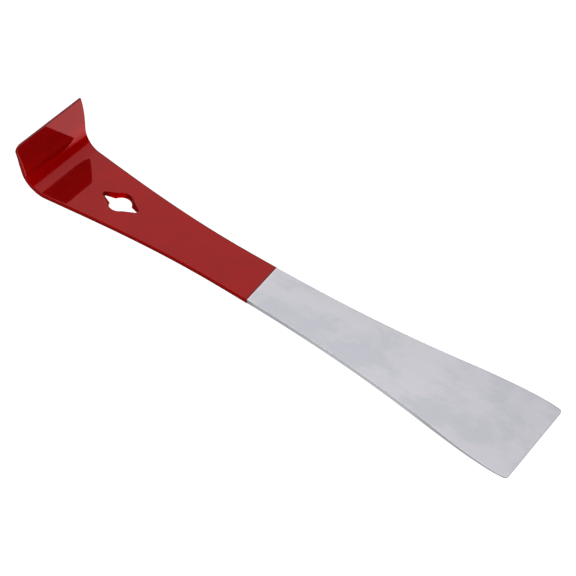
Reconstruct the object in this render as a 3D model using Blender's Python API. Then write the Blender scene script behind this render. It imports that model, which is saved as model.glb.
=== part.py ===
"""Hive tool: a beekeeper's pry bar and scraper, modelled for Blender 4.5.

A flat spring-steel bar flares towards both ends.  One end is a straight blade, ground thin from
above and a little from below.  The other is folded up into a scraping hook, ground from outside.
A nail puller, a round hole with a notch on each side, is punched behind the hook.  Red enamel covers
the hook and the handle and stops in a straight line, where the bare blade begins.

Units are metres.  +X points to the blade, +Y across the bar and +Z up.  The origin is under the
middle of the tool, on the plane that it lies on.

The bar is drawn flat, as it is before the press folds it.  There "along" is the distance from the
hook's edge, measured in the middle of the steel, "across" is the distance from the centre line, and
the height is measured from the steel's underside.
"""
import math

import bmesh
import bpy
import numpy
from mathutils import Vector
from mathutils.geometry import interpolate_bezier

# The steel bar
FLAT_LENGTH = 0.2897
STEEL_THICKNESS = 0.00257
HOOK_HALF_WIDTH = 0.0218
WAIST_HALF_WIDTH = 0.0114
BELLY_HALF_WIDTH = 0.0218
BLADE_END_HALF_WIDTH = 0.0214
WAIST_ALONG = 0.1305
BELLY_ALONG = 0.2840

# The handles of the edge curve: how far each end's tangent reaches
HOOK_REACH = 0.0326
HOOK_NARROWING = 0.0016
WAIST_REACH_TO_HOOK = 0.0542
WAIST_REACH_TO_BLADE = 0.1005
BELLY_REACH = 0.0318

# The corners.  The hook's are unlike: the one at -Y is dressed rounder.
BLADE_CORNER_RADIUS = 0.00175
HOOK_ROUND_CORNER_RADIUS = 0.0030
HOOK_SHARP_CORNER_RADIUS = 0.0004

# The hook was sheared a little askew: how far its end has drifted to -Y, and over what length
HOOK_DRIFT = 0.0018
HOOK_DRIFT_LENGTH = 0.0164

# The fold that makes the hook
HOOK_STRAIGHT = 0.0189
BEND_INSIDE_RADIUS = 0.0089
BEND_ANGLE = math.radians(89.0)

# The ground ends, and how much steel is gone at their edges.  The hook is ground from outside only.
BLADE_TAPER_LENGTH = 0.0376
BLADE_GROUND_ABOVE = 0.00117
BLADE_GROUND_BELOW = 0.00060
HOOK_TAPER_LENGTH = 0.0128
HOOK_GROUND_OUTSIDE = 0.00197

# The nail puller.  It is wider above than below, and its punch leaned a little.  Below, the hook's
# notch is narrower still on its -Y side.
HOLE_CENTRE = Vector((0.0658, -0.0004))
HOLE_RADIUS_ABOVE = 0.00605
HOLE_RADIUS_BELOW = 0.0055
PUNCH_LEAN = Vector((-0.00035, -0.0002))
NOTCH_REACH = 0.0105
NOTCH_TIP_HALF_WIDTH = 0.0009
NOTCH_ROOT_HALF_WIDTH_ABOVE = 0.0042
NOTCH_ROOT_HALF_WIDTH_BELOW = 0.0024
HOOK_NOTCH_ROOT_BELOW = 0.0013

# The enamel: its film, and the hair of space that keeps its mesh off the steel's
ENAMEL_FILM = 0.00012
ENAMEL_GAP = 0.00003
PAINT_LINE_ALONG = 0.1489
PAINT_LINE_SKEW = math.radians(3.6)

# How finely curves are divided
BEND_STEPS = 12
EDGE_SPACING = 0.004
CORNER_STEPS = 6
HOLE_ARC_STEPS = 12
CUTTER_OVERRUN = 0.002

BEND_MIDDLE_RADIUS = BEND_INSIDE_RADIUS + STEEL_THICKNESS / 2
BEND_LENGTH = BEND_ANGLE * BEND_MIDDLE_RADIUS
HANDLE_ALONG = HOOK_STRAIGHT + BEND_LENGTH
BLADE_TAPER_ALONG = FLAT_LENGTH - BLADE_TAPER_LENGTH
ENAMEL_PROUD = ENAMEL_GAP + ENAMEL_FILM

PARTS = "hive_tool"
CUTTERS = "hive_tool_cutters"


def clear_scene():
    for old in list(bpy.data.objects):
        bpy.data.objects.remove(old)


def new_collection(name):
    collection = bpy.data.collections.new(name)
    bpy.context.scene.collection.children.link(collection)
    return collection


def edge_curve():
    """The bar's edge: hook to waist, waist to belly, then straight to the blade's end."""
    hook = Vector((0, HOOK_HALF_WIDTH))
    waist = Vector((WAIST_ALONG, WAIST_HALF_WIDTH))
    belly = Vector((BELLY_ALONG, BELLY_HALF_WIDTH))
    fine = 200
    points = interpolate_bezier(
        hook, hook + Vector((HOOK_REACH, -HOOK_NARROWING)),
        waist - Vector((WAIST_REACH_TO_HOOK, 0)), waist, fine)
    points += interpolate_bezier(
        waist, waist + Vector((WAIST_REACH_TO_BLADE, 0)),
        belly - Vector((BELLY_REACH, 0)), belly, fine)[1:]
    points.append(Vector((FLAT_LENGTH, BLADE_END_HALF_WIDTH)))
    return points


EDGE = edge_curve()


def edge_across(along, side, grow=0.0):
    """The edge's place across the bar on side 1 (+Y) or -1.  The hook drifts to -Y."""
    width = float(numpy.interp(along, [point.x for point in EDGE], [point.y for point in EDGE]))
    drift = HOOK_DRIFT * max(0.0, 1 - along / HOOK_DRIFT_LENGTH) ** 2
    return side * (width + grow) - drift


def bend_lines():
    """The places where the bar changes direction or thickness, hook first."""
    steps = range(BEND_STEPS + 1)
    lines = [HOOK_STRAIGHT + BEND_LENGTH * step / BEND_STEPS for step in steps]
    return [HOOK_TAPER_LENGTH, *lines, BLADE_TAPER_ALONG]


def edge_places(end):
    """The places along the edge that carry a point, evenly spaced between the bend lines."""
    stops = [0.0, *bend_lines(), BELLY_ALONG, end]
    stops = [stop for stop in stops if stop <= end]
    places = []
    for start, stop in zip(stops, stops[1:]):
        pieces = max(1, round((stop - start) / EDGE_SPACING))
        places += [start + (stop - start) * piece / pieces for piece in range(1, pieces + 1)]
    return places[:-1]


def rounded(before, corner, after, radius):
    """The points of an arc that rounds a corner between two straight runs."""
    towards_before = (before - corner).normalized()
    towards_after = (after - corner).normalized()
    half_angle = towards_before.angle(towards_after) / 2
    centre = corner + (towards_before + towards_after).normalized() * radius / math.sin(half_angle)
    start = (corner + towards_before * radius / math.tan(half_angle) - centre).normalized()
    stop = (corner + towards_after * radius / math.tan(half_angle) - centre).normalized()
    steps = range(CORNER_STEPS + 1)
    return [centre + start.slerp(stop, step / CORNER_STEPS) * radius for step in steps]


def bar_outline(grow, end=FLAT_LENGTH):
    """The flat bar's outline, grown all round.  A bar cut short ends at the skewed paint line."""
    places = edge_places(end)
    right = [Vector((along, edge_across(along, 1, grow))) for along in places]
    left = [Vector((along, edge_across(along, -1, grow))) for along in places]
    hook_right = Vector((-grow, edge_across(0, 1, grow)))
    hook_left = Vector((-grow, edge_across(0, -1, grow)))
    if end == FLAT_LENGTH:
        end_right = Vector((FLAT_LENGTH + grow, BLADE_END_HALF_WIDTH + grow))
        end_left = Vector((end_right.x, -end_right.y))
        radius = BLADE_CORNER_RADIUS + grow
        end_points = rounded(left[-1], end_left, end_right, radius)
        end_points += rounded(end_left, end_right, right[-1], radius)
    else:
        width = edge_across(end, 1, grow)
        skew = width * math.tan(PAINT_LINE_SKEW)
        end_points = [Vector((end + skew, -width)), Vector((end - skew, width))]
    sharp = rounded(right[0], hook_right, hook_left, HOOK_SHARP_CORNER_RADIUS + grow)
    blunt = rounded(hook_right, hook_left, left[0], HOOK_ROUND_CORNER_RADIUS + grow)
    return [*blunt, *left, *end_points, *reversed(right), *sharp]


def flat_slab(name, outline, low, high):
    """A closed slab with this outline between two heights."""
    curve = bpy.data.curves.new(name, "CURVE")
    curve.dimensions = "2D"
    curve.fill_mode = "BOTH"
    curve.extrude = (high - low) / 2
    spline = curve.splines.new("POLY")
    spline.points.add(len(outline) - 1)
    for point, place in zip(spline.points, outline):
        point.co = (place.x, place.y, 0, 1)
    spline.use_cyclic_u = True
    drawing = bpy.data.objects.new(name, curve)
    drawing.location.z = (high + low) / 2
    bpy.context.scene.collection.objects.link(drawing)
    bpy.context.view_layer.update()
    evaluated = drawing.evaluated_get(bpy.context.evaluated_depsgraph_get())
    mesh = bpy.data.meshes.new_from_object(evaluated)
    mesh.transform(drawing.matrix_world)
    bpy.data.objects.remove(drawing)
    return mesh


def thinned(along, height):
    """A point's height after grinding.  The slab has points on its two faces only."""
    blade_part = max(0.0, along - BLADE_TAPER_ALONG) / BLADE_TAPER_LENGTH
    hook_part = max(0.0, HOOK_TAPER_LENGTH - along) / HOOK_TAPER_LENGTH
    if height > STEEL_THICKNESS / 2:
        return height - blade_part * BLADE_GROUND_ABOVE
    return height + blade_part * BLADE_GROUND_BELOW + hook_part * HOOK_GROUND_OUTSIDE


def folded(along, across, height):
    """Where a point of the flat bar goes when the hook is folded up."""
    past_bend = HANDLE_ALONG - along
    if past_bend <= 0:
        return Vector((-past_bend, across, height))
    angle = min(past_bend / BEND_MIDDLE_RADIUS, BEND_ANGLE)
    straight = past_bend - angle * BEND_MIDDLE_RADIUS
    radius = BEND_INSIDE_RADIUS + STEEL_THICKNESS - height
    axis_height = BEND_INSIDE_RADIUS + STEEL_THICKNESS
    x = -radius * math.sin(angle) - straight * math.cos(angle)
    z = axis_height - radius * math.cos(angle) + straight * math.sin(angle)
    return Vector((x, across, z))


def bar_mesh(name, grow, end=FLAT_LENGTH):
    """The bar without its hole, ground and folded, with its surface moved out by grow."""
    mesh = flat_slab(name, bar_outline(grow, end), -grow, STEEL_THICKNESS + grow)
    shape = bmesh.new()
    shape.from_mesh(mesh)
    bmesh.ops.remove_doubles(shape, verts=shape.verts, dist=0.000001)
    for along in bend_lines():
        everything = [*shape.verts, *shape.edges, *shape.faces]
        bmesh.ops.bisect_plane(shape, geom=everything, dist=0.000001,
                               plane_co=(along, 0, 0), plane_no=(1, 0, 0))
    for vertex in shape.verts:
        along, across, height = vertex.co
        vertex.co = folded(along, across, thinned(along, height))
    bmesh.ops.recalc_face_normals(shape, faces=shape.faces)
    shape.to_mesh(mesh)
    shape.free()
    return mesh


def arc(centre, radius, start, stop):
    angles = [start + (stop - start) * step / HOLE_ARC_STEPS for step in range(HOLE_ARC_STEPS + 1)]
    return [centre + Vector((math.cos(angle), math.sin(angle))) * radius for angle in angles]


def puller_outline(middle, centre, radius, root_half_width, hook_root_half_width, shrink):
    """The nail puller's outline with its walls moved in by shrink.

    Two arcs round a centre are joined by two blunt notches, whose tips lie about the middle.
    """
    tip = NOTCH_TIP_HALF_WIDTH - shrink
    reach = NOTCH_REACH - shrink
    radius -= shrink
    root = math.asin((root_half_width - shrink) / radius)
    hook_root = math.asin((hook_root_half_width - shrink) / radius)
    return [
        middle + Vector((reach, -tip)),
        middle + Vector((reach, tip)),
        *arc(centre, radius, root, math.pi - root),
        middle + Vector((-reach, tip)),
        middle + Vector((-reach, -tip)),
        *arc(centre, radius, math.pi + hook_root, 2 * math.pi - root),
    ]


def puller_cutter(name, shrink):
    """A loft through the bar whose hole and notches narrow from the upper face to the lower.

    Its walls are twisted, so they are made of triangles, split the same way in every cutter.
    """
    middle = HOLE_CENTRE - Vector((HANDLE_ALONG, 0))
    above = puller_outline(middle, middle, HOLE_RADIUS_ABOVE,
                           NOTCH_ROOT_HALF_WIDTH_ABOVE, NOTCH_ROOT_HALF_WIDTH_ABOVE, shrink)
    below = puller_outline(middle, middle + PUNCH_LEAN, HOLE_RADIUS_BELOW,
                           NOTCH_ROOT_HALF_WIDTH_BELOW, HOOK_NOTCH_ROOT_BELOW, shrink)
    sections = (
        (below, -CUTTER_OVERRUN),
        (below, 0.0),
        (above, STEEL_THICKNESS),
        (above, STEEL_THICKNESS + CUTTER_OVERRUN),
    )
    shape = bmesh.new()
    rings = [[shape.verts.new((*point, z)) for point in outline] for outline, z in sections]
    shape.faces.new(rings[0])
    shape.faces.new(rings[-1])
    for lower, upper in zip(rings, rings[1:]):
        for here in range(len(lower)):
            shape.faces.new((lower[here - 1], lower[here], upper[here]))
            shape.faces.new((lower[here - 1], upper[here], upper[here - 1]))
    bmesh.ops.recalc_face_normals(shape, faces=shape.faces)
    mesh = bpy.data.meshes.new(name)
    shape.to_mesh(mesh)
    shape.free()
    return mesh


def add_object(name, mesh, collection, parent):
    thing = bpy.data.objects.new(name, mesh)
    collection.objects.link(thing)
    thing.parent = parent
    return thing


def add_cutter(name, mesh, collection, parent):
    cutter = add_object(name, mesh, collection, parent)
    cutter.hide_render = True
    cutter.display_type = "WIRE"
    return cutter


def cut(target, cutter):
    boolean = target.modifiers.new(cutter.name, "BOOLEAN")
    boolean.operation = "DIFFERENCE"
    boolean.solver = "EXACT"
    boolean.object = cutter


def material(name, colour, metallic, roughness, coat=0.0):
    made = bpy.data.materials.new(name)
    made.use_nodes = True
    shader = made.node_tree.nodes["Principled BSDF"]
    shader.inputs["Base Color"].default_value = (*colour, 1.0)
    shader.inputs["Metallic"].default_value = metallic
    shader.inputs["Roughness"].default_value = roughness
    shader.inputs["Coat Weight"].default_value = coat
    return made


def build_steel_bar(parts, cutters, parent):
    bar = add_object("steel_bar", bar_mesh("steel_bar", 0.0), parts, parent)
    puller = puller_cutter("steel_puller_cutter", 0.0)
    cut(bar, add_cutter("steel_puller_cutter", puller, cutters, parent))
    bar.data.materials.append(material("satin_steel", (0.58, 0.58, 0.60), 1.0, 0.38))
    return bar


def build_enamel_coat(parts, cutters, parent):
    """The film of enamel: the grown bar with the space for the steel taken out of it."""
    outside = bar_mesh("enamel_coat", ENAMEL_PROUD, PAINT_LINE_ALONG)
    coat = add_object("enamel_coat", outside, parts, parent)
    puller = puller_cutter("enamel_puller_cutter", ENAMEL_PROUD)
    cut(coat, add_cutter("enamel_puller_cutter", puller, cutters, parent))

    space = add_cutter("steel_space", bar_mesh("steel_space", ENAMEL_GAP), cutters, parent)
    puller = puller_cutter("space_puller_cutter", ENAMEL_GAP)
    cut(space, add_cutter("space_puller_cutter", puller, cutters, parent))
    cut(coat, space)
    coat.data.materials.append(material("red_enamel", (0.33, 0.022, 0.024), 0.0, 0.16, coat=1.0))
    return coat


def stand_on_origin(frame, things):
    """Moves everything so that the origin is under the middle of the tool's length and width."""
    corners = [vertex.co for thing in things for vertex in thing.data.vertices]
    for axis in (0, 1):
        ends = [corner[axis] for corner in corners]
        frame.location[axis] = -(min(ends) + max(ends)) / 2
    frame.location.z = ENAMEL_PROUD


def main():
    clear_scene()
    parts = new_collection(PARTS)
    cutters = new_collection(CUTTERS)
    frame = bpy.data.objects.new("hive_tool_frame", None)
    parts.objects.link(frame)
    bar = build_steel_bar(parts, cutters, frame)
    coat = build_enamel_coat(parts, cutters, frame)
    stand_on_origin(frame, (bar, coat))
    bpy.context.view_layer.update()


main()
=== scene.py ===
"""Looks of the hive tool: a fine steel bar, its coat of red enamel, the studio and the camera.

Units are metres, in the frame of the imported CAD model: +X to the blade, +Y across the bar, +Z up.
Both pieces are drawn flat, as the bar is before the press folds it, and then ground and folded.
There "along" is the distance from the hook's edge, measured in the middle of the steel, "across" is
the distance from the centre line, and "film" is how far the surface stands off the steel.
"""
import math
from collections import namedtuple

import bmesh
import bpy
import numpy
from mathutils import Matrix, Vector
from mathutils.geometry import interpolate_bezier


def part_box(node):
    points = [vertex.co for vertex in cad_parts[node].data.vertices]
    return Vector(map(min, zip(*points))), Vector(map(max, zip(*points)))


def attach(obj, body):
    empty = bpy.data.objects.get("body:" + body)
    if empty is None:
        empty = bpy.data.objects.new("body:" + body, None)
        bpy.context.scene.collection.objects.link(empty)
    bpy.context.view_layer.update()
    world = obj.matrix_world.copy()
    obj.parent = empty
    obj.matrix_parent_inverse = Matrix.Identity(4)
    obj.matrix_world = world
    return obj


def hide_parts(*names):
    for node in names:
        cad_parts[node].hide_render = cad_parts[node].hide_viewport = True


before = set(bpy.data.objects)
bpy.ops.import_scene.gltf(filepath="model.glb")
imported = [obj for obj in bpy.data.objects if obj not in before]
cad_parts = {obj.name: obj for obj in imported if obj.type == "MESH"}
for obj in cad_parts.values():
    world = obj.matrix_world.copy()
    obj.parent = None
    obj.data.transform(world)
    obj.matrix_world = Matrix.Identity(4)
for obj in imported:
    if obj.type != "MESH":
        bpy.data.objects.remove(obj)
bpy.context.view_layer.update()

# The steel bar, as the CAD model has it
FLAT_LENGTH = 0.2897
STEEL_THICKNESS = 0.00257
HOOK_HALF_WIDTH = 0.0218
WAIST_HALF_WIDTH = 0.0114
BELLY_HALF_WIDTH = 0.0218
BLADE_END_HALF_WIDTH = 0.0214
WAIST_ALONG = 0.1305
BELLY_ALONG = 0.2840
HOOK_REACH = 0.0326
HOOK_NARROWING = 0.0016
WAIST_REACH_TO_HOOK = 0.0542
WAIST_REACH_TO_BLADE = 0.1005
BELLY_REACH = 0.0318
BLADE_CORNER_RADIUS = 0.00175
HOOK_ROUND_CORNER_RADIUS = 0.0030
HOOK_SHARP_CORNER_RADIUS = 0.0004
HOOK_DRIFT = 0.0018
HOOK_DRIFT_LENGTH = 0.0164

# The fold and the ground ends
HOOK_STRAIGHT = 0.0189
BEND_INSIDE_RADIUS = 0.0089
BEND_ANGLE = math.radians(89.0)
BLADE_TAPER_LENGTH = 0.0376
BLADE_GROUND_ABOVE = 0.00117
BLADE_GROUND_BELOW = 0.00060
HOOK_TAPER_LENGTH = 0.0128
HOOK_GROUND_OUTSIDE = 0.00197

# The nail puller
HOLE_CENTRE = Vector((0.0658, -0.0004))
HOLE_RADIUS_ABOVE = 0.00605
HOLE_RADIUS_BELOW = 0.0055
PUNCH_LEAN = Vector((-0.00035, -0.0002))
NOTCH_REACH = 0.0105
NOTCH_TIP_HALF_WIDTH = 0.0009
NOTCH_ROOT_HALF_WIDTH_ABOVE = 0.0042
NOTCH_ROOT_HALF_WIDTH_BELOW = 0.0024
HOOK_NOTCH_ROOT_BELOW = 0.0013
NOTCH_TIP_ROUNDING = 0.0004
NOTCH_ROOT_ROUNDING = 0.0003

# The enamel
ENAMEL_FILM = 0.00012
ENAMEL_GAP = 0.00003
ENAMEL_PROUD = ENAMEL_GAP + ENAMEL_FILM
PAINT_LINE_ALONG = 0.1489
PAINT_LINE_SKEW = math.tan(math.radians(3.6))
SHOULDER_LENGTH = 0.0005
ENAMEL_LIP = 0.00005

# Rounded edges, and how finely curves are divided
EDGE_RADIUS = 0.00035
HOLE_EDGE_RADIUS = 0.0001
EDGE_STEPS = 5
SHOULDER_STEPS = 4
FIRST_STATION = HOOK_TAPER_LENGTH / 3
STATION_SPACING = 0.0020
BEND_STEPS = 54
CORNER_STEPS = 6
CURVE_POINTS = 400
HOLE_ARC_STEPS = 24
HOLE_MARGIN = 0.0015

BEND_MIDDLE_RADIUS = BEND_INSIDE_RADIUS + STEEL_THICKNESS / 2
BEND_LENGTH = BEND_ANGLE * BEND_MIDDLE_RADIUS
HANDLE_ALONG = HOOK_STRAIGHT + BEND_LENGTH
BLADE_TAPER_ALONG = FLAT_LENGTH - BLADE_TAPER_LENGTH

# Where the flat bar's zero lies in the frame, from the blade's end and the steel's underside
STEEL_LOW, STEEL_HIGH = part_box("steel_bar")
BEND_START_X = STEEL_HIGH.x - (FLAT_LENGTH - HANDLE_ALONG)
STEEL_UNDERSIDE_Z = STEEL_LOW.z
CENTRE_LINE_Y = STEEL_HIGH.y - BELLY_HALF_WIDTH
PAINT_LINE_X = BEND_START_X + PAINT_LINE_ALONG - HANDLE_ALONG

# Where one look fades into another, from the first to the second height in the frame
BEND_SHADE_BOTTOM = (0.0045, 0.0057)
CREASE_TOP = (0.0086, 0.0106)
# The painted light inside the bend fades out up the hook between these heights
PAINTED_LIGHT_TOP = (0.0120, 0.0200)
HOOK_END_BOTTOM = (STEEL_HIGH.z - 0.0004, STEEL_HIGH.z - 0.0001)
LOW_WALL_TOP = (1.1 * STEEL_THICKNESS, 1.5 * STEEL_THICKNESS)

# How much higher the tops of the bend's shades are, per metre towards -Y
BEND_SHADE_SLOPE = 0.07

# The same fades, as distances from the steel's lower side, the paint line and the hole's middle
# Painted shade on the sides fades out between these heights above the steel's lower side
LOW_EDGE_TOP = (0.0003, 0.0017)
FAT_EDGE_END = (0.0004, 0.0010)
# The pale pink line past the paint line, feathered paint and partly a painted highlight, fades over
# this distance
FEATHER_AND_HIGHLIGHT_END = (0.0003, 0.0008)
# Painted shade along the steel's sides ends over this distance past the paint line
SHADED_SIDE_END = (0.0, 0.005)
# Painted shade in the notches' tips begins between these distances
NOTCH_TIP_START = (0.0082, 0.0098)
HOLE_END = (NOTCH_REACH + 0.0002, NOTCH_REACH + 0.0006)

# The same, as X in the frame
# Painted light along the steel's sides rises over the first span and fades over the second
PALE_SIDE_START = (0.010, 0.040)
PALE_SIDE_END = (0.080, 0.095)
DARKER_BLADE_START = (0.070, 0.125)

# The same, as one part of the surface's unit normal
FACING_SIDEWAYS = (0.72, 0.96)
FACING_UP_OR_DOWN = (0.25, 0.75)
FACING_OUT_OF_HOLE = (0.75, 0.93)
# Hole walls that face the blade get painted light
FACING_THE_BLADE = (0.05, 0.45)
# The far arris, where painted shade goes, is found by these parts of the normal
RIM_OFF_FACE = (0.06, 0.25)
RIM_OFF_SIDE = (0.45, 0.75)

# How many features each noise has per metre, and the spans that the noises mostly stay in
ENAMEL_CLOUDS = 90
ENAMEL_RIPPLE = 350
ENAMEL_HAZE = 400
STEEL_CLOUDS = 38
STEEL_BLOTCHES = 170
STEEL_STREAKS = 700
STEEL_GRAIN = 1800
FLOOR_MOTTLE = 3
NOISE_SPAN = (0.3, 0.7)
WIDE_NOISE_SPAN = (0.25, 0.75)

# How much of the enamel is a tinted mirror, the same where it is dull, and how much is clear-coated
MIRROR_SHARE = 0.42
DULL_MIRROR_SHARE = 0.06
CLEAR_COAT_SHARE = 0.55

# Colours of the enamel and of the steel
RED = (0.415, 0.0006, 0.0007, 1)
DARK_RED = (0.13, 0.0007, 0.0008, 1)
# Painted light: the brighter red inside the bend and on the hole's walls that face the blade
PAINTED_LIGHT_RED = (0.52, 0.0010, 0.0008, 1)
# Painted shade on the hole's walls away from the blade and in the notches' tips
SHADED_RED = (0.21, 0.0010, 0.0008, 1)
# Painted shade: a darker red on the bar's narrow sides
SIDE_SHADE_RED = (0.30, 0.0030, 0.0025, 1)
# Painted shade: the sides darken towards their low edge
LOW_EDGE_SHADE_RED = (0.14, 0.0060, 0.0050, 1)
# Painted shade: a dark line along the arris on the +Y side
FAR_RIM_SHADE = (0.04, 0.0050, 0.0060, 1)
FAT_EDGE_BROWN = (0.17, 0.016, 0.018, 1)
HOOK_END_BROWN = (0.30, 0.055, 0.057, 1)
LILAC = (0.800, 0.780, 0.840, 1)
SLATE = (0.705, 0.716, 0.775, 1)
# Feathered paint on the steel at the paint line, partly a painted highlight
PINK_FEATHER_AND_HIGHLIGHT = (1.0, 0.88, 0.91, 1)
SHEARED_GREY = (0.350, 0.353, 0.375, 1)
# Painted shade on the steel's sides at the paint line
SHADED_SIDE_GREY = (0.190, 0.192, 0.205, 1)
# Painted light on the steel's sides, palest in the middle of the blade
PAINTED_LIGHT_SIDE_GREY = (0.440, 0.443, 0.465, 1)

# The studio: the lens and sensor are in millimetres, and a softbox has a name, a place, a target,
# a width, a height and a radiance
CAMERA_PLACE = Vector((0.28153, -0.35392, 0.51107))
CAMERA_TARGET = Vector((0.00184, 0.00723, 0.00015))
CAMERA_LENS = 96.95
CAMERA_SENSOR_WIDTH = 36
CAMERA_CLIP_START = 0.01
FLOOR_HALF_SIZE = 12.0
FLOOR_CLEARANCE = 0.0002
FLOOR_GLOW = 1.08
FLOOR_GREY = 0.12
WORLD_GREY = 0.05
SOFTBOXES = (
    ("ceiling", (-0.11, 0, 1.4), (-0.11, 0, 0), 3.38, 2.8, 0.90),
    ("key", (-0.5, -1.15, 0.8), (0, 0, 0), 0.7, 0.7, 1.2),
)

# A place along the bar where its surface is divided, with its film and its slant across the bar
Station = namedtuple("Station", "along film skew")


def edge_curve():
    """The bar's edge: hook to waist, waist to belly, then straight to the blade's end."""
    hook = Vector((0, HOOK_HALF_WIDTH))
    waist = Vector((WAIST_ALONG, WAIST_HALF_WIDTH))
    belly = Vector((BELLY_ALONG, BELLY_HALF_WIDTH))
    points = interpolate_bezier(
        hook, hook + Vector((HOOK_REACH, -HOOK_NARROWING)),
        waist - Vector((WAIST_REACH_TO_HOOK, 0)), waist, CURVE_POINTS)
    points += interpolate_bezier(
        waist, waist + Vector((WAIST_REACH_TO_BLADE, 0)),
        belly - Vector((BELLY_REACH, 0)), belly, CURVE_POINTS)[1:]
    points.append(Vector((FLAT_LENGTH, BLADE_END_HALF_WIDTH)))
    return points


EDGE = edge_curve()
EDGE_ALONG = [point.x for point in EDGE]
EDGE_ACROSS = [point.y for point in EDGE]


def edge_across(along, side, grow=0.0):
    """The edge's place across the bar on side 1 (+Y) or -1.  The hook drifts to -Y."""
    width = float(numpy.interp(along, EDGE_ALONG, EDGE_ACROSS))
    drift = HOOK_DRIFT * max(0.0, 1 - along / HOOK_DRIFT_LENGTH) ** 2
    return side * (width + grow) - drift


def evenly(start, stop, pieces):
    """The places that divide a stretch, without its start."""
    return [start + (stop - start) * piece / pieces for piece in range(1, pieces + 1)]


def stretch(start, stop):
    """The same, about a station's spacing apart."""
    return evenly(start, stop, max(1, round((stop - start) / STATION_SPACING)))


def hook_stations():
    """The places from the hook's corners to the end of the bend."""
    places = [FIRST_STATION]
    places += stretch(FIRST_STATION, HOOK_TAPER_LENGTH)
    places += stretch(HOOK_TAPER_LENGTH, HOOK_STRAIGHT)
    places += evenly(HOOK_STRAIGHT, HANDLE_ALONG, BEND_STEPS)
    return places


def steel_stations():
    """The steel's stations, from the hook's corners to the blade's."""
    places = hook_stations()
    places += stretch(HANDLE_ALONG, BLADE_TAPER_ALONG)
    places += stretch(BLADE_TAPER_ALONG, BELLY_ALONG)
    places.append((BELLY_ALONG + FLAT_LENGTH - BLADE_CORNER_RADIUS) / 2)
    return [Station(place, 0.0, 0.0) for place in places]


def enamel_stations(film, lip):
    """The coat's stations.  Its last ones run along the paint line, where the film rounds down."""
    places = hook_stations()
    places += stretch(HANDLE_ALONG, PAINT_LINE_ALONG - SHOULDER_LENGTH - STATION_SPACING)
    stations = [Station(place, film, 0.0) for place in places]
    for step in range(SHOULDER_STEPS + 1):
        angle = math.pi / 2 * (1 - step / SHOULDER_STEPS)
        place = PAINT_LINE_ALONG - SHOULDER_LENGTH * (1 - math.cos(angle))
        stations.append(Station(place, lip + (film - lip) * math.sin(angle), PAINT_LINE_SKEW))
    return stations


def rounded(before, corner, after, radius, steps=CORNER_STEPS):
    """The points of an arc that rounds a corner between two straight runs."""
    towards_before = (before - corner).normalized()
    towards_after = (after - corner).normalized()
    half_angle = towards_before.angle(towards_after) / 2
    centre = corner + (towards_before + towards_after).normalized() * radius / math.sin(half_angle)
    start = (corner + towards_before * radius / math.tan(half_angle) - centre).normalized()
    stop = (corner + towards_after * radius / math.tan(half_angle) - centre).normalized()
    return [centre + start.slerp(stop, step / steps) * radius for step in range(steps + 1)]


def ground(along, share, film):
    """The height of a point after grinding: share 0 is the lower surface and 1 the upper one."""
    blade_part = max(0.0, along - BLADE_TAPER_ALONG) / BLADE_TAPER_LENGTH
    hook_part = max(0.0, HOOK_TAPER_LENGTH - along) / HOOK_TAPER_LENGTH
    low = blade_part * BLADE_GROUND_BELOW + hook_part * HOOK_GROUND_OUTSIDE - film
    high = STEEL_THICKNESS - blade_part * BLADE_GROUND_ABOVE + film
    return low + (high - low) * share


def folded(along, across, height):
    """Where a point of the flat bar goes in the frame when the hook is folded up."""
    past_bend = HANDLE_ALONG - along
    if past_bend <= 0:
        return Vector((BEND_START_X - past_bend, CENTRE_LINE_Y + across, STEEL_UNDERSIDE_Z + height))
    angle = min(past_bend / BEND_MIDDLE_RADIUS, BEND_ANGLE)
    straight = past_bend - angle * BEND_MIDDLE_RADIUS
    axis_height = BEND_INSIDE_RADIUS + STEEL_THICKNESS
    radius = axis_height - height
    x = -radius * math.sin(angle) - straight * math.cos(angle)
    z = axis_height - radius * math.cos(angle) + straight * math.sin(angle)
    return Vector((BEND_START_X + x, CENTRE_LINE_Y + across, STEEL_UNDERSIDE_Z + z))


def edge_turns():
    """The steps round an edge from the upper face to the lower: upper or lower half, and lean."""
    leans = [math.pi / 2 * step / EDGE_STEPS for step in range(EDGE_STEPS + 1)]
    return [(True, lean) for lean in reversed(leans)] + [(False, lean) for lean in leans]


def rounding(film, lean, bare_radius=EDGE_RADIUS):
    """How far an edge's surface is inset from the outline, and how far it is below the face."""
    radius = bare_radius + film
    return radius * (1 - math.cos(lean)), radius * (1 - math.sin(lean))


def thickness_share(film, upper, lean, bare_radius=EDGE_RADIUS):
    """The height of an edge's surface as a share of the thickness."""
    depth = rounding(film, lean, bare_radius)[1] / (STEEL_THICKNESS + 2 * film)
    return 1 - depth if upper else depth


def side_point(station, side, lean):
    """The point of the edge at a station, on side 1 (+Y) or -1, with its film."""
    along = station.along - edge_across(station.along, side) * station.skew
    offset = station.film - rounding(station.film, lean)[0]
    return Vector((along, edge_across(along, side, offset)))


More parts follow.
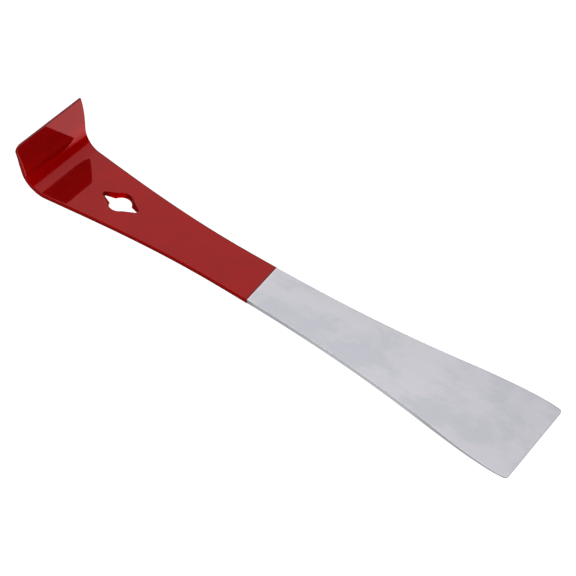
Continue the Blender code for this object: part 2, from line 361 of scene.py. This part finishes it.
def edge_line(stations, lean, closed):
    """One line round the bar's edge: from its far end round the hook and back on the near side.

    Each point comes with its film.  The line is as long before the hook's middle as after it.
    """
    far = [side_point(station, 1, lean) for station in stations]
    near = [side_point(station, -1, lean) for station in stations]
    film = stations[0].film
    offset = film - rounding(film, lean)[0]
    hook_far = Vector((-offset, edge_across(0, 1, offset)))
    hook_near = Vector((-offset, edge_across(0, -1, offset)))
    sharp = rounded(far[0], hook_far, hook_near, HOOK_SHARP_CORNER_RADIUS + offset)
    blunt = rounded(hook_far, hook_near, near[0], HOOK_ROUND_CORNER_RADIUS + offset)
    films = [station.film for station in stations]
    films = [*reversed(films), *([film] * (len(sharp) + len(blunt))), *films]
    points = [*reversed(far), *sharp, *blunt, *near]
    if closed:
        blade_far = Vector((FLAT_LENGTH + offset, BLADE_END_HALF_WIDTH + offset))
        blade_near = Vector((blade_far.x, -blade_far.y))
        radius = BLADE_CORNER_RADIUS + offset
        first = rounded(blade_near, blade_far, far[-1], radius)
        last = rounded(near[-1], blade_near, blade_far, radius)
        points = [*first, *points, *last]
        films = [*([film] * len(first)), *films, *([film] * len(last))]
    return list(zip(points, films))


def arc(centre, radius, start, stop):
    """The points of an arc of the hole between two angles."""
    angles = [start + (stop - start) * step / HOLE_ARC_STEPS for step in range(HOLE_ARC_STEPS + 1)]
    return [centre + Vector((math.cos(angle), math.sin(angle))) * radius for angle in angles]


def hole_outline(centre, radius, root_half_width, hook_root_half_width, shrink):
    """The nail puller's outline with its walls moved in by shrink.

    Two arcs are joined by two blunt notches, and where they meet the corners are softened.
    """
    tip = NOTCH_TIP_HALF_WIDTH - shrink
    reach = NOTCH_REACH - shrink
    radius -= shrink
    root = math.asin((root_half_width - shrink) / radius)
    hook_root = math.asin((hook_root_half_width - shrink) / radius)
    blade_tips = [HOLE_CENTRE + Vector((reach, -tip)), HOLE_CENTRE + Vector((reach, tip))]
    hook_tips = [HOLE_CENTRE + Vector((-reach, tip)), HOLE_CENTRE + Vector((-reach, -tip))]
    far_arc = arc(centre, radius, root, math.pi - root)
    near_arc = arc(centre, radius, math.pi + hook_root, 2 * math.pi - root)
    outline = [*blade_tips, *far_arc, *hook_tips, *near_arc]
    tips = [*blade_tips, *hook_tips]
    roots = [far_arc[0], far_arc[-1], near_arc[0], near_arc[-1]]
    softened = []
    for here, corner in enumerate(outline):
        before = outline[here - 1]
        after = outline[(here + 1) % len(outline)]
        if corner in tips:
            softened += rounded(before, corner, after, NOTCH_TIP_ROUNDING)
        elif corner in roots:
            softened += rounded(before, corner, after, NOTCH_ROOT_ROUNDING)
        else:
            softened.append(corner)
    return softened


def hole_line(film, upper, lean):
    """One line round the hole's wall, between its upper and its lower outline."""
    shrink = film - rounding(film, lean, HOLE_EDGE_RADIUS)[0]
    share = thickness_share(film, upper, lean, HOLE_EDGE_RADIUS)
    above = hole_outline(HOLE_CENTRE, HOLE_RADIUS_ABOVE,
                         NOTCH_ROOT_HALF_WIDTH_ABOVE, NOTCH_ROOT_HALF_WIDTH_ABOVE, shrink)
    below = hole_outline(HOLE_CENTRE + PUNCH_LEAN, HOLE_RADIUS_BELOW,
                         NOTCH_ROOT_HALF_WIDTH_BELOW, HOOK_NOTCH_ROOT_BELOW, shrink)
    return [low.lerp(high, share) for low, high in zip(below, above)]


def add_strip(shape, one, other, closed):
    """Quads between two lines of as many points."""
    for here in range(0 if closed else 1, len(one)):
        shape.faces.new((one[here - 1], one[here], other[here], other[here - 1]))


def add_flat_face(shape, line, hole):
    """The quads across the bar between the two halves of an edge line, and round the hole."""
    half = len(line) // 2
    far = line[:half]
    near = line[:half - 1:-1]
    hole_start = folded(HOLE_CENTRE.x - NOTCH_REACH - HOLE_MARGIN, 0, 0).x
    hole_stop = folded(HOLE_CENTRE.x + NOTCH_REACH + HOLE_MARGIN, 0, 0).x
    around_hole = []
    for here in range(1, half):
        quad = (far[here - 1], far[here], near[here], near[here - 1])
        middle = sum(corner.co.x for corner in quad) / len(quad)
        if hole_start < middle < hole_stop:
            around_hole.append(quad)
        else:
            shape.faces.new(quad)
    border = [around_hole[0][0], *(quad[1] for quad in around_hole)]
    border += [around_hole[-1][2], *(quad[3] for quad in reversed(around_hole))]
    edges = []
    for loop in (border, hole):
        for here in range(len(loop)):
            pair = (loop[here - 1], loop[here])
            edges.append(shape.edges.get(pair) or shape.edges.new(pair))
    bmesh.ops.triangle_fill(shape, edges=edges, use_beauty=True)


def add_skin(shape, stations, closed):
    """The bar's whole surface over these stations.  Returns the ring of points at the last one."""
    film = stations[0].film
    edge_lines = []
    hole_lines = []
    for upper, lean in edge_turns():
        line = []
        for point, point_film in edge_line(stations, lean, closed):
            share = thickness_share(point_film, upper, lean)
            height = ground(point.x, share, point_film)
            line.append(shape.verts.new(folded(point.x, point.y, height)))
        edge_lines.append(line)
        share = thickness_share(film, upper, lean, HOLE_EDGE_RADIUS)
        height = ground(HOLE_CENTRE.x, share, film)
        hole = hole_line(film, upper, lean)
        hole_lines.append([shape.verts.new(folded(point.x, point.y, height)) for point in hole])
    for one, other in zip(edge_lines, edge_lines[1:]):
        add_strip(shape, one, other, closed)
    for one, other in zip(hole_lines, hole_lines[1:]):
        add_strip(shape, one, other, True)
    add_flat_face(shape, edge_lines[0], hole_lines[0])
    add_flat_face(shape, edge_lines[-1], hole_lines[-1])
    return [line[0] for line in edge_lines] + [line[-1] for line in reversed(edge_lines)]


def finished(name, shape):
    """Makes a smoothly shaded object from a closed shape, on the tool's body."""
    bmesh.ops.recalc_face_normals(shape, faces=shape.faces)
    mesh = bpy.data.meshes.new(name)
    shape.to_mesh(mesh)
    shape.free()
    mesh.shade_smooth()
    piece = bpy.data.objects.new(name, mesh)
    bpy.context.scene.collection.objects.link(piece)
    weighted = piece.modifiers.new("flat_faces_stay_flat", "WEIGHTED_NORMAL")
    weighted.mode = "FACE_AREA"
    weighted.weight = 100
    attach(piece, "root")
    return piece


def build_steel():
    """The whole bar, which goes on inside the enamel."""
    shape = bmesh.new()
    add_skin(shape, steel_stations(), True)
    piece = finished("ground_steel_bar", shape)
    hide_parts("steel_bar")
    return piece


def build_enamel():
    """A closed film: an outer and an inner skin that meet along the paint line."""
    shape = bmesh.new()
    outer = add_skin(shape, enamel_stations(ENAMEL_PROUD, ENAMEL_LIP), False)
    inner = add_skin(shape, enamel_stations(ENAMEL_GAP / 2, ENAMEL_GAP / 2), False)
    add_strip(shape, outer, inner, True)
    piece = finished("red_enamel_coat", shape)
    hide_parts("enamel_coat")
    return piece


def add_node(tree, kind, inputs, **settings):
    """Adds a shader node.  An input is either a value or the output of another node."""
    made = tree.nodes.new(kind)
    for name, value in settings.items():
        setattr(made, name, value)
    for name, value in inputs.items():
        if isinstance(value, bpy.types.NodeSocket):
            tree.links.new(value, made.inputs[name])
        else:
            made.inputs[name].default_value = value
    return made


def calculated(tree, operation, *values):
    inputs = dict(enumerate(values))
    return add_node(tree, "ShaderNodeMath", inputs, operation=operation).outputs[0]


def vector_result(tree, operation, one, other):
    inputs = {0: one, 1: other}
    return add_node(tree, "ShaderNodeVectorMath", inputs, operation=operation).outputs["Vector"]


def vector_length(tree, vector):
    return add_node(tree, "ShaderNodeVectorMath", {0: vector}, operation="LENGTH").outputs["Value"]


def parts_of(tree, vector):
    """The X, Y and Z parts of a vector."""
    return add_node(tree, "ShaderNodeSeparateXYZ", {"Vector": vector}).outputs


def ramped(tree, value, low, high, to_low=0.0, to_high=1.0):
    """Eases a value from to_low at low to to_high at high."""
    inputs = {"Value": value, "From Min": low, "From Max": high, "To Min": to_low, "To Max": to_high}
    return add_node(tree, "ShaderNodeMapRange", inputs, interpolation_type="SMOOTHSTEP").outputs[0]


def blended(tree, share, one, other, blend="MIX"):
    """Mixes two colours, each a colour or a socket."""
    made = add_node(tree, "ShaderNodeMix", {}, data_type="RGBA", blend_type=blend)
    for socket, value in ((made.inputs[0], share), (made.inputs[6], one), (made.inputs[7], other)):
        if isinstance(value, bpy.types.NodeSocket):
            tree.links.new(value, socket)
        else:
            socket.default_value = value
    return made.outputs[2]


def grey(tree, brightness):
    parts = {0: brightness, 1: brightness, 2: brightness}
    return add_node(tree, "ShaderNodeCombineColor", parts).outputs[0]


def noise(tree, place, scale, stretch_by=(1, 1, 1), detail=2.0, roughness=0.5):
    """Smooth noise between 0 and 1, with about this many features per metre.

    Where stretch_by is below 1 the features are longer.
    """
    mapped = add_node(tree, "ShaderNodeMapping", {"Vector": place, "Scale": stretch_by}).outputs[0]
    inputs = {"Vector": mapped, "Scale": scale, "Detail": detail, "Roughness": roughness}
    return add_node(tree, "ShaderNodeTexNoise", inputs).outputs["Fac"]


def bumped(tree, height, strength, distance):
    """The normal of a surface with this relief."""
    inputs = {"Height": height, "Strength": strength, "Distance": distance}
    return add_node(tree, "ShaderNodeBump", inputs).outputs[0]


def new_material(name):
    """A material, its node tree and its shader, and the surface's place in the frame."""
    made = bpy.data.materials.new(name)
    made.use_nodes = True
    tree = made.node_tree
    shader = tree.nodes["Principled BSDF"]
    place = add_node(tree, "ShaderNodeTexCoord", {}).outputs["Object"]
    return made, tree, shader, place


def facing(tree):
    """The X, Y and Z parts of the surface's normal."""
    return parts_of(tree, add_node(tree, "ShaderNodeNewGeometry", {}).outputs["Normal"])


def beyond_paint_line(tree, place):
    """The distance in metres from the paint line, measured towards the blade."""
    parts = parts_of(tree, place)
    across = calculated(tree, "SUBTRACT", parts["Y"], CENTRE_LINE_Y)
    skewed = calculated(tree, "MULTIPLY_ADD", across, PAINT_LINE_SKEW, parts["X"])
    return calculated(tree, "SUBTRACT", skewed, PAINT_LINE_X)


def from_hole(tree, place):
    """The distance in metres from the nail puller's middle, in plan."""
    middle = tuple(folded(HOLE_CENTRE.x, HOLE_CENTRE.y, 0))
    offset = vector_result(tree, "SUBTRACT", place, middle)
    return vector_length(tree, vector_result(tree, "MULTIPLY", offset, (1, 1, 0)))


def height_in_bar(tree, place):
    """The distance in metres from the bar's underside, which becomes the hook's outer side."""
    outer_radius = BEND_INSIDE_RADIUS + STEEL_THICKNESS
    axis = (BEND_START_X, 0, STEEL_UNDERSIDE_Z + outer_radius)
    from_axis = vector_result(tree, "SUBTRACT", place, axis)
    outward = vector_result(tree, "MINIMUM", from_axis, (0, 0, 0))
    distance = vector_length(tree, vector_result(tree, "MULTIPLY", outward, (1, 0, 1)))
    tip = STEEL_HIGH.z
    inputs = {"Value": parts_of(tree, place)["Z"], "From Min": tip - HOOK_TAPER_LENGTH, "From Max": tip,
              "To Min": outer_radius, "To Max": outer_radius - HOOK_GROUND_OUTSIDE}
    surface = add_node(tree, "ShaderNodeMapRange", inputs).outputs[0]
    return calculated(tree, "SUBTRACT", surface, distance)


def hook_end_share(tree, place):
    """1 on the hook's thin end and 0 elsewhere."""
    return ramped(tree, parts_of(tree, place)["Z"], *HOOK_END_BOTTOM)


def wall_share(tree, place):
    """1 on the bar's narrow sides and ends, and 0 on its faces."""
    towards = facing(tree)
    sideways = ramped(tree, calculated(tree, "ABSOLUTE", towards["Y"]), *FACING_SIDEWAYS)
    up_or_down = calculated(tree, "ABSOLUTE", towards["Z"])
    upright = ramped(tree, up_or_down, *FACING_UP_OR_DOWN, 1.0, 0.0)
    low = ramped(tree, parts_of(tree, place)["Z"], *LOW_WALL_TOP, 1.0, 0.0)
    low_walls = calculated(tree, "MULTIPLY", upright, low)
    ends = calculated(tree, "MAXIMUM", low_walls, hook_end_share(tree, place))
    return calculated(tree, "MAXIMUM", sideways, ends)


def hole_wall_share(tree, place):
    """1 on the nail puller's walls and 0 elsewhere."""
    near = ramped(tree, from_hole(tree, place), *HOLE_END, 1.0, 0.0)
    up_or_down = calculated(tree, "ABSOLUTE", facing(tree)["Z"])
    upright = ramped(tree, up_or_down, *FACING_OUT_OF_HOLE, 1.0, 0.0)
    return calculated(tree, "MULTIPLY", near, upright)


def far_rim_share(tree):
    """1 on the arris between the upper face and the side at +Y, and 0 elsewhere."""
    towards = facing(tree)
    off_face = ramped(tree, towards["Y"], *RIM_OFF_FACE)
    off_side = ramped(tree, towards["Z"], *RIM_OFF_SIDE)
    return calculated(tree, "MULTIPLY", off_face, off_side)


def bend_share(tree, place, top):
    """1 inside the bend, fading out up the hook over the heights in top, and 0 on the handle."""
    parts = parts_of(tree, place)
    sloping = calculated(tree, "MULTIPLY_ADD", parts["Y"], BEND_SHADE_SLOPE, parts["Z"])
    above_flat = ramped(tree, parts["Z"], *BEND_SHADE_BOTTOM)
    below_top = ramped(tree, sloping, *top, 1.0, 0.0)
    return calculated(tree, "MULTIPLY", above_flat, below_top)


def hole_wall_light_and_shade(tree, place):
    """Painted light where the hole's walls face the blade, except in the notches' tips, and painted
    shade elsewhere.
    """
    to_blade = ramped(tree, facing(tree)["X"], *FACING_THE_BLADE)
    before_tips = ramped(tree, from_hole(tree, place), *NOTCH_TIP_START, 1.0, 0.0)
    lit = calculated(tree, "MULTIPLY", to_blade, before_tips)
    return blended(tree, lit, SHADED_RED, PAINTED_LIGHT_RED)


def enamel_colour(tree, place, outer_walls, hole_walls):
    """Faintly cloudy red, brownish at the paint line and the hook's end, with painted light in the
    bend, painted light and shade on the hole's walls, and painted shade on the sides, their low edge
    and the far arris.
    """
    clouds = ramped(tree, noise(tree, place, ENAMEL_CLOUDS, detail=3.0), *NOISE_SPAN, 0.0, 0.12)
    colour = blended(tree, clouds, RED, DARK_RED)
    inside_line = calculated(tree, "MULTIPLY", beyond_paint_line(tree, place), -1.0)
    colour = blended(tree, ramped(tree, inside_line, *FAT_EDGE_END, 0.85, 0.0), colour, FAT_EDGE_BROWN)
    # Painted light: a brighter red inside the bend, fading out up the hook
    colour = blended(tree, bend_share(tree, place, PAINTED_LIGHT_TOP), colour, PAINTED_LIGHT_RED)
    # Painted light and painted shade on the hole's walls
    colour = blended(tree, hole_walls, colour, hole_wall_light_and_shade(tree, place))
    sides = calculated(tree, "SUBTRACT", outer_walls, hole_walls)
    # Painted shade: the sides are a darker red
    colour = blended(tree, sides, colour, SIDE_SHADE_RED)
    # Painted shade: the sides darken towards their low edge
    low_edge = ramped(tree, height_in_bar(tree, place), *LOW_EDGE_TOP, 1.0, 0.0)
    colour = blended(tree, calculated(tree, "MULTIPLY", sides, low_edge), colour, LOW_EDGE_SHADE_RED)
    # Painted shade: a dark line along the arris on the +Y side
    far_rim = calculated(tree, "SUBTRACT", far_rim_share(tree), hole_walls)
    colour = blended(tree, far_rim, colour, FAR_RIM_SHADE)
    return blended(tree, hook_end_share(tree, place), colour, HOOK_END_BROWN)


def enamel_material():
    """Glossy red: a tinted mirror under a clear one, which both fade in the crease and on the walls."""
    made, tree, shader, place = new_material("red_enamel")
    outer_walls = wall_share(tree, place)
    hole_walls = hole_wall_share(tree, place)
    sheltered = calculated(tree, "MAXIMUM", hole_walls, bend_share(tree, place, CREASE_TOP))
    dull = calculated(tree, "MAXIMUM", outer_walls, sheltered)
    roughness = ramped(tree, noise(tree, place, ENAMEL_HAZE), *NOISE_SPAN, 0.05, 0.09)
    ripple = noise(tree, place, ENAMEL_RIPPLE, detail=1.0)
    rippled = bumped(tree, ripple, strength=0.02, distance=0.0002)
    tree.links.new(enamel_colour(tree, place, outer_walls, hole_walls), shader.inputs["Base Color"])
    mirror = ramped(tree, dull, 0.0, 1.0, MIRROR_SHARE, DULL_MIRROR_SHARE)
    tree.links.new(mirror, shader.inputs["Metallic"])
    tree.links.new(ramped(tree, dull, 0.0, 1.0, CLEAR_COAT_SHARE, 0.0), shader.inputs["Coat Weight"])
    tree.links.new(roughness, shader.inputs["Roughness"])
    tree.links.new(rippled, shader.inputs["Normal"])
    tree.links.new(rippled, shader.inputs["Coat Normal"])
    shader.inputs["Specular IOR Level"].default_value = 0.0
    shader.inputs["Coat Roughness"].default_value = 0.03
    shader.inputs["Coat IOR"].default_value = 1.5
    return made


def ground_colour(tree, place, streaks, grain):
    """Steel between lilac and slate in clouds and blotches, with the streaks and grain of grinding."""
    clouds = noise(tree, place, STEEL_CLOUDS, (0.8, 1.0, 1.0), detail=5.0, roughness=0.6)
    blotches = noise(tree, place, STEEL_BLOTCHES, (0.6, 1.0, 1.0), detail=4.0, roughness=0.6)
    cloudy = calculated(tree, "MULTIPLY_ADD", blotches, 0.45, clouds)
    colour = blended(tree, ramped(tree, cloudy, 0.64, 0.86), LILAC, SLATE)
    shade = calculated(tree, "MULTIPLY", ramped(tree, streaks, *WIDE_NOISE_SPAN, 0.98, 1.015),
                       ramped(tree, grain, *WIDE_NOISE_SPAN, 0.96, 1.03))
    towards_end = ramped(tree, parts_of(tree, place)["X"], *DARKER_BLADE_START, 1.0, 0.93)
    shade = calculated(tree, "MULTIPLY", shade, towards_end)
    return blended(tree, 1.0, colour, grey(tree, shade), "MULTIPLY")


def side_colour(tree, place):
    """The sheared sides: painted shade darkens them at the paint line and painted light makes them
    palest in the middle of the blade.
    """
    # Painted shade next to the paint line
    beyond_shade = ramped(tree, beyond_paint_line(tree, place), *SHADED_SIDE_END)
    colour = blended(tree, beyond_shade, SHADED_SIDE_GREY, SHEARED_GREY)
    # Painted light, palest in the middle of the blade
    frame_x = parts_of(tree, place)["X"]
    pale = calculated(tree, "MULTIPLY", ramped(tree, frame_x, *PALE_SIDE_START),
                      ramped(tree, frame_x, *PALE_SIDE_END, 1.0, 0.0))
    return blended(tree, pale, colour, PAINTED_LIGHT_SIDE_GREY)


def steel_material():
    """Satin steel: a fine grain with faint lengthwise streaks, and duller sheared sides."""
    made, tree, shader, place = new_material("ground_steel")
    streaks = noise(tree, place, STEEL_STREAKS, (0.03, 1.0, 1.0), detail=4.0, roughness=0.6)
    grain = noise(tree, place, STEEL_GRAIN, (0.4, 1.0, 1.0), detail=3.0, roughness=0.7)
    sides = wall_share(tree, place)
    colour = ground_colour(tree, place, streaks, grain)
    # A pale pink line at the paint line: feathered paint, partly a painted highlight
    feather_and_highlight = ramped(tree, beyond_paint_line(tree, place), *FEATHER_AND_HIGHLIGHT_END, 0.9, 0.0)
    colour = blended(tree, feather_and_highlight, colour, PINK_FEATHER_AND_HIGHLIGHT)
    colour = blended(tree, sides, colour, side_colour(tree, place))
    ground_roughness = ramped(tree, grain, 0.2, 0.8, 0.30, 0.40)
    roughness = calculated(tree, "MULTIPLY_ADD", sides, 0.12, ground_roughness)
    relief = calculated(tree, "MULTIPLY_ADD", streaks, 0.5, grain)
    brushed = bumped(tree, relief, strength=0.10, distance=0.0001)
    tree.links.new(colour, shader.inputs["Base Color"])
    tree.links.new(roughness, shader.inputs["Roughness"])
    tree.links.new(brushed, shader.inputs["Normal"])
    shader.inputs["Metallic"].default_value = 1.0
    return made


def floor_material():
    """A pale floor that glows by itself, with a faint mottle."""
    made, tree, shader, place = new_material("pale_floor")
    mottle = ramped(tree, noise(tree, place, FLOOR_MOTTLE), *NOISE_SPAN, 0.99, 1.01)
    tree.links.new(grey(tree, mottle), shader.inputs["Emission Color"])
    shader.inputs["Emission Strength"].default_value = FLOOR_GLOW
    shader.inputs["Base Color"].default_value = (FLOOR_GREY, FLOOR_GREY, FLOOR_GREY, 1)
    shader.inputs["Roughness"].default_value = 0.9
    shader.inputs["Specular IOR Level"].default_value = 0.0
    return made


def build_floor():
    """A wide floor a hair below the tool."""
    shape = bmesh.new()
    bmesh.ops.create_grid(shape, x_segments=1, y_segments=1, size=FLOOR_HALF_SIZE)
    mesh = bpy.data.meshes.new("studio_floor")
    shape.to_mesh(mesh)
    shape.free()
    floor = bpy.data.objects.new("studio_floor", mesh)
    floor.location.z = -FLOOR_CLEARANCE
    bpy.context.scene.collection.objects.link(floor)
    floor.data.materials.append(floor_material())


def add_softbox(name, place, target, width, height, radiance):
    """A rectangular area light that faces the target.  Mirrored, it looks as bright as its radiance."""
    light = bpy.data.lights.new(name, "AREA")
    light.shape = "RECTANGLE"
    light.size = width
    light.size_y = height
    light.energy = radiance * math.pi * width * height
    box = bpy.data.objects.new(name, light)
    box.location = place
    box.rotation_euler = (Vector(target) - Vector(place)).to_track_quat("-Z", "Y").to_euler()
    bpy.context.scene.collection.objects.link(box)


def light_studio():
    """Lights in a dark room."""
    world = bpy.data.worlds.new("studio")
    world.use_nodes = True
    background = world.node_tree.nodes["Background"]
    background.inputs["Color"].default_value = (WORLD_GREY, WORLD_GREY, WORLD_GREY, 1)
    bpy.context.scene.world = world
    for softbox in SOFTBOXES:
        add_softbox(*softbox)


def aim_camera():
    """The camera looks down on the bar from beyond the blade, on its near side."""
    camera = bpy.data.objects.new("camera", bpy.data.cameras.new("camera"))
    camera.data.lens = CAMERA_LENS
    camera.data.sensor_width = CAMERA_SENSOR_WIDTH
    camera.data.clip_start = CAMERA_CLIP_START
    camera.location = CAMERA_PLACE
    aim = CAMERA_TARGET - CAMERA_PLACE
    camera.rotation_euler = aim.to_track_quat("-Z", "Y").to_euler()
    bpy.context.scene.collection.objects.link(camera)
    bpy.context.scene.camera = camera


steel = build_steel()
enamel = build_enamel()
steel.data.materials.append(steel_material())
enamel.data.materials.append(enamel_material())
build_floor()
light_studio()
aim_camera()
bpy.context.scene.view_settings.view_transform = "Standard"
